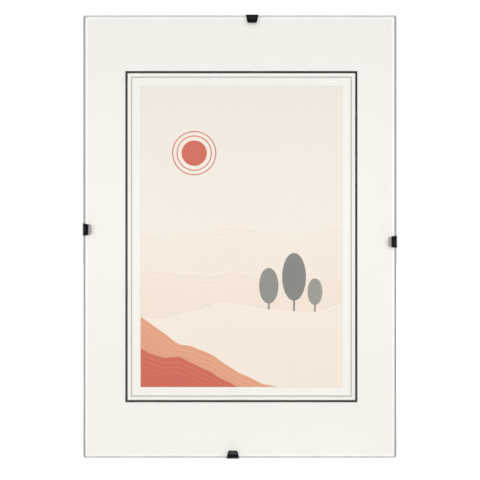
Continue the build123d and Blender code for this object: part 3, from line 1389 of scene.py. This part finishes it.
@dataclass
class SpringClip:
    """One spring clip: a punched blank, folded along its side profile and set on an edge of the glass."""

    side: Side
    steel: float = 0.4
    edge_gap: float = 0.1
    nose_reach: float = 5.2
    nose_rise: float = 10.0
    lip_flare: float = 28.0
    bead_inset: float = 2.6
    bead_radius: float = 2.5
    contact_gap: float = 0.05
    bend_radius: float = 0.7
    tail_gap: float = 1.7
    bow_height: float = 3.0
    bow_inset: float = 14.0
    bow_radius: float = 36.0
    tail_reach: float = 30.0
    seat_gap: float = 0.1
    heel_radius: float = 0.6
    hook_depth: float = 2.2
    wall_width: float = 8.3
    nose_tip_width: float = 6.3
    nose_corner: float = 1.2
    tail_width: float = 21.6
    tail_corner: float = 1.8
    hook_width: float = 15.0
    hook_corner: float = 0.8
    leg_width: float = 3.0
    crossbar: float = 4.0
    eye_radius: float = 2.4
    eye_corner: float = 1.6
    rim_bevel: float = 0.07
    rim_steps: int = 2
    rim_angle: float = 50.0

    @property
    def node(self) -> str:
        """The clip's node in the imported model."""
        return "clip_" + self.side.value

    def build(self, enamel: Material, rim: Material) -> Object:
        """Punch, fold, thicken and set the clip.

        Args:
            enamel: The material of its faces.
            rim: The material of its punched rims.

        Returns:
            The finished clip.
        """
        path = self.profile()
        name = "spring_clip_" + self.side.value
        clip = new_holder(name, self.blank(path))
        guide = new_holder(name + "_profile", self.profile_curve(path))
        turn = Euler((0.0, self.side.turn, 0.0))
        values = {"Profile": guide, "Place": self.place(), "Turn": turn, "Material": enamel}
        grow(clip, "clip_folding", values, self.fold)
        thickness = clip.modifiers.new("steel", "SOLIDIFY")
        thickness.thickness = self.steel * MM
        thickness.offset = 1.0
        thickness.use_even_offset = True
        rounding = clip.modifiers.new("rim", "BEVEL")
        rounding.width = self.rim_bevel * MM
        rounding.segments = self.rim_steps
        rounding.limit_method = "ANGLE"
        rounding.angle_limit = math.radians(self.rim_angle)
        rounding.material = 1
        settle(clip)
        clip.data.materials.append(rim)
        bpy.data.objects.remove(guide)
        stand_for(clip, self.node, self.node + "_body")
        return clip

    def place(self) -> Vector:
        """Find where the clip sits.

        Returns:
            The point of the glass's front rim, in metres, that the clip is drawn about.
        """
        glass_low, glass_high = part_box("glass_pane")
        clip_low, clip_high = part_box(self.node)
        outward = self.side.outward
        axis = 0 if outward.x else 2
        place = (clip_low + clip_high) / 2
        place.y = glass_low.y
        place[axis] = glass_high[axis] if outward[axis] > 0 else glass_low[axis]
        return place

    def profile(self) -> Outline:
        """Draw the strip's side view, on the face that looks at the stack.

        Returns:
            The path from the lip to the hook, as places towards the wall and outwards.
        """
        board_back = (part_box("backing_board")[1].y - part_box("glass_pane")[0].y) / MM
        rise = math.radians(self.nose_rise)
        flare = math.radians(self.lip_flare)
        corner_reach = self.bead_radius / math.cos((rise + flare) / 2)
        lean = (rise - flare) / 2
        bead_depth = corner_reach * math.cos(lean) - self.contact_gap - self.bead_radius
        bead_out = corner_reach * math.sin(lean) - self.bead_inset
        heel_out = self.steel - self.tail_reach
        corners = [
            (bead_depth - (bead_out + self.nose_reach) * math.tan(flare), -self.nose_reach),
            (bead_depth, bead_out),
            (bead_depth - (self.edge_gap - bead_out) * math.tan(rise), self.edge_gap),
            (board_back + self.tail_gap, self.edge_gap),
            (board_back + self.bow_height, -self.bow_inset),
            (board_back + self.seat_gap, heel_out),
            (board_back - self.hook_depth, heel_out),
        ]
        bend = self.bend_radius
        radii = [0.0, self.bead_radius, bend, bend, self.bow_radius, self.heel_radius, 0.0]
        return rounded_path(corners, radii, closed=False)

    def profile_curve(self, path: Outline) -> bpy.types.Curve:
        """Draw the profile as a curve.

        Args:
            path: The strip's profile.

        Returns:
            The curve in the YZ plane.
        """
        curve = bpy.data.curves.new("clip_profile", "CURVE")
        curve.dimensions = "3D"
        add_spline(curve, [(0.0, depth * MM, out * MM) for depth, out in path], closed=False)
        return curve

    def lengths(self, path: Outline) -> list[float]:
        """Give how far along the strip each point of its profile lies."""
        return [0.0, *itertools.accumulate(math.dist(start, end) for start, end in zip(path, path[1:]))]

    def length_at(self, path: Outline, out: float, on_tail: bool) -> float:
        """Find where the strip passes a place.

        Args:
            path: The strip's profile.
            out: The place, outwards from the edge of the glass.
            on_tail: Whether it is passed on the tail rather than on the nose.

        Returns:
            The length along the strip up to there.
        """
        passed = []
        for start, end, so_far in zip(path, path[1:], self.lengths(path)):
            if min(start[1], end[1]) <= out < max(start[1], end[1]):
                share = (out - start[1]) / (end[1] - start[1])
                passed.append(so_far + share * math.dist(start, end))
        return passed[-1] if on_tail else passed[0]

    def blank(self, path: Outline) -> Mesh:
        """Punch the flat blank with its eye.

        Args:
            path: The strip's profile.

        Returns:
            The flat blank, scored for its bends, with its width along X and its length along Y.
        """
        lengths = self.lengths(path)
        nose_end = self.length_at(path, 0.0, on_tail=False)
        tail_start = self.length_at(path, 0.0, on_tail=True)
        shoulder_out = self.steel + self.heel_radius - self.tail_reach
        shoulder = self.length_at(path, shoulder_out, on_tail=True)
        eye_base = self.length_at(path, shoulder_out + self.crossbar, on_tail=True)
        wall_half = self.wall_width / 2
        tail_half = self.tail_width / 2
        hook_half = self.hook_width / 2
        right = [
            (self.nose_tip_width / 2, 0.0),
            (wall_half, nose_end),
            (wall_half, tail_start),
            (tail_half, shoulder),
            (hook_half, shoulder),
            (hook_half, lengths[-1]),
        ]
        right_radii = [self.nose_corner, 0.0, 0.0, self.tail_corner, 0.0, self.hook_corner]
        left = [(-across, along) for across, along in reversed(right)]
        outline = rounded_path(right + left, right_radii + right_radii[::-1])
        taper = (tail_half - wall_half) / (shoulder - tail_start)
        eye_half = wall_half - self.leg_width / math.cos(math.atan(taper))
        base_half = eye_half + taper * (eye_base - tail_start)
        eye_corners = [(0.0, tail_start - eye_half / taper), (base_half, eye_base), (-base_half, eye_base)]
        eye = rounded_path(eye_corners, [self.eye_radius, self.eye_corner, self.eye_corner])
        mesh = filled_mesh([outline, eye])
        self.score(mesh, lengths[1:-1])
        return mesh

    def score(self, mesh: Mesh, lengths: Sequence[float]) -> None:
        """Score the flat blank straight across wherever the strip bends.

        Args:
            mesh: The blank, whose edges inside its outline then all run across.
            lengths: How far along the blank the bends lie.
        """
        shape = bmesh.new()
        shape.from_mesh(mesh)
        for length in lengths:
            bmesh.ops.bisect_plane(
                shape,
                geom=shape.verts[:] + shape.edges[:] + shape.faces[:],
                dist=MERGE_DISTANCE,
                plane_co=(0.0, length * MM, 0.0),
                plane_no=(0.0, 1.0, 0.0),
            )
        slanted = []
        for edge in shape.edges:
            run = abs(edge.verts[0].co.y - edge.verts[1].co.y)
            if len(edge.link_faces) == 2 and run > LEAST_RUN:
                slanted.append(edge)
        bmesh.ops.dissolve_edges(shape, edges=slanted, use_verts=False)
        shape.to_mesh(mesh)
        shape.free()

    def fold(self, tree: NodeTree, given: Given) -> Node:
        """Fold the flat blank along the profile and set it on its side.

        Args:
            tree: The tree that takes the nodes.
            given: The tree's inputs.

        Returns:
            The node that gives the folded strip.
        """
        add = partial(add_node, tree)
        profile = add("GeometryNodeObjectInfo", {"Object": given["Profile"]}).outputs["Geometry"]
        flat = add(SEPARATE, {0: add(POSITION)}).outputs
        bent = add("GeometryNodeSampleCurve", {"Curves": profile, "Length": flat["Y"]}, mode="LENGTH")
        bent_axes = add(SEPARATE, {0: bent.outputs["Position"]}).outputs
        place = add(COMBINE, {"X": flat["X"], "Y": bent_axes["Y"], "Z": bent_axes["Z"]})
        folded = add("GeometryNodeSetPosition", {"Geometry": given["Geometry"], "Position": place})
        return add(TRANSFORM, {"Geometry": folded, "Translation": given["Place"], "Rotation": given["Turn"]})


@dataclass
class Studio:
    """The white studio: floor, background, soft lamps and the camera in front of the glass."""

    view_width: float = 321.9
    camera_distance: float = 1500.0
    camera_right: float = 0.07
    camera_down: float = 2.25
    sensor: float = 36.0
    floor_size: float = 24000.0
    lamp_side: float = 560.0
    lamp_front: float = 263.0
    lamp_size: Point = (180.0, 180.0)
    lamp_power: float = 0.72
    strip_up: float = 15.0
    strip_front: float = 350.0
    strip_size: Point = (1600.0, 120.0)
    strip_power: float = 0.82
    front_light: float = 3.12
    front_edge: Point = (0.78, 0.92)
    side_light: float = 0.35
    room_in_front: float = 0.1
    room_edge: Point = (-0.3, 0.3)

    def build(self, clips: Sequence[Object]) -> None:
        """Set up the whole studio round the frame.

        Args:
            clips: The finished clips, which the side lamps pick out.
        """
        low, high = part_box("glass_pane")
        middle = (low + high) / 2
        middle.y = low.y
        self.build_floor(middle)
        self.build_lamps(middle, clips)
        self.build_world()
        self.build_camera(middle)
        bpy.context.scene.view_settings.view_transform = "Standard"

    def build_floor(self, middle: Vector) -> None:
        """Lay the floor under the lowest point of the frame.

        Args:
            middle: The middle of the glass's front, in metres.
        """
        half = self.floor_size / 2
        mesh = filled_mesh([rectangle((-half, -half), (half, half))])
        foot = Vector((middle.x, middle.y, cad_box[0][2]))
        mesh.transform(Matrix.Translation(foot))
        mesh.materials.append(StudioFloor(foot).material())
        new_holder("studio_floor", mesh)

    def build_lamps(self, middle: Vector, clips: Sequence[Object]) -> None:
        """Hang a long soft lamp across the front, and one on each side for the clips alone.

        The glass would show the side lamps as glare, so they light nothing else.

        Args:
            middle: The middle of the glass's front, in metres.
            clips: The finished clips.
        """
        strip_offset = Vector((0.0, -self.strip_front, self.strip_up))
        strip = self.build_lamp("lamp_strip", middle, strip_offset, self.strip_size, self.strip_power)
        strip.visible_camera = False
        strip.visible_glossy = False
        lit = bpy.data.collections.new("clips_lit_from_the_side")
        for clip in clips:
            lit.objects.link(clip)
        for name, across in (("lamp_left", -self.lamp_side), ("lamp_right", self.lamp_side)):
            offset = Vector((across, -self.lamp_front, 0.0))
            lamp = self.build_lamp(name, middle, offset, self.lamp_size, self.lamp_power)
            lamp.light_linking.receiver_collection = lit

    def build_lamp(self, name: str, middle: Vector, offset: Vector, size: Point, power: float) -> Object:
        """Hang a soft oval lamp that looks at the frame.

        Args:
            name: The lamp's name.
            middle: The middle of the glass's front, in metres.
            offset: The lamp's place from there, in millimetres.
            size: Its width and height.
            power: Its power in watts.

        Returns:
            The lamp.
        """
        data = bpy.data.lights.new(name, "AREA")
        data.shape = "ELLIPSE"
        data.size = size[0] * MM
        data.size_y = size[1] * MM
        data.energy = power
        lamp = new_holder(name, data)
        lamp.location = middle + offset * MM
        lamp.rotation_euler = (-offset).to_track_quat("-Z", "Y").to_euler()
        return lamp

    def build_world(self) -> None:
        """Make a white room that lights the frame from in front and behind, and that gloss sees dimmer."""
        world = bpy.data.worlds.new("white_studio")
        world.use_nodes = True
        tree = world.node_tree
        tree.nodes.clear()
        add = partial(add_node, tree)
        rays = add(LIGHT_PATH)
        depth = add(SEPARATE, {0: add(TEXTURE_PLACE).outputs["Generated"]}).outputs["Y"]
        room_from, room_to = self.room_edge
        room_turn = {"From Min": room_from, "From Max": room_to, "To Min": self.room_in_front}
        room = add(MAP_RANGE, {"Value": depth, **room_turn})
        facing = add(MATH, {0: depth}, operation="ABSOLUTE")
        light_from, light_to = self.front_edge
        light_turn = {"From Min": light_from, "From Max": light_to}
        light_levels = {"To Min": self.side_light, "To Max": self.front_light}
        light = add(MAP_RANGE, {"Value": facing, **light_turn, **light_levels})
        unseen = add(MIX, {"Factor": mirrored_rays(tree, rays), "A": light, "B": room})
        strength = add(MIX, {"Factor": rays.outputs["Is Camera Ray"], "A": unseen, "B": 1.0})
        background = add("ShaderNodeBackground", {"Color": WHITE, "Strength": strength})
        add("ShaderNodeOutputWorld", {"Surface": background})
        bpy.context.scene.world = world

    def build_camera(self, middle: Vector) -> None:
        """Put the camera straight in front of the glass.

        Args:
            middle: The middle of the glass's front, in metres.
        """
        data = bpy.data.cameras.new("camera")
        data.sensor_width = self.sensor
        data.lens = self.sensor * self.camera_distance / self.view_width
        camera = new_holder("camera", data)
        camera.location = middle + Vector((self.camera_right, -self.camera_distance, -self.camera_down)) * MM
        camera.rotation_euler = (math.pi / 2, 0.0, 0.0)
        bpy.context.scene.camera = camera


def main() -> None:
    """Build every piece of the frame and the studio round it."""
    logging.basicConfig(level=logging.INFO, format="%(name)s: %(message)s")
    GlassPane().build()
    CardInsert().build()
    BackingBoard().build()
    enamel = EnamelledSteel().material()
    rim = RubbedSteel().material()
    clips = [SpringClip(side).build(enamel, rim) for side in Side]
    Studio().build(clips)


if __name__ == "__main__":
    main()
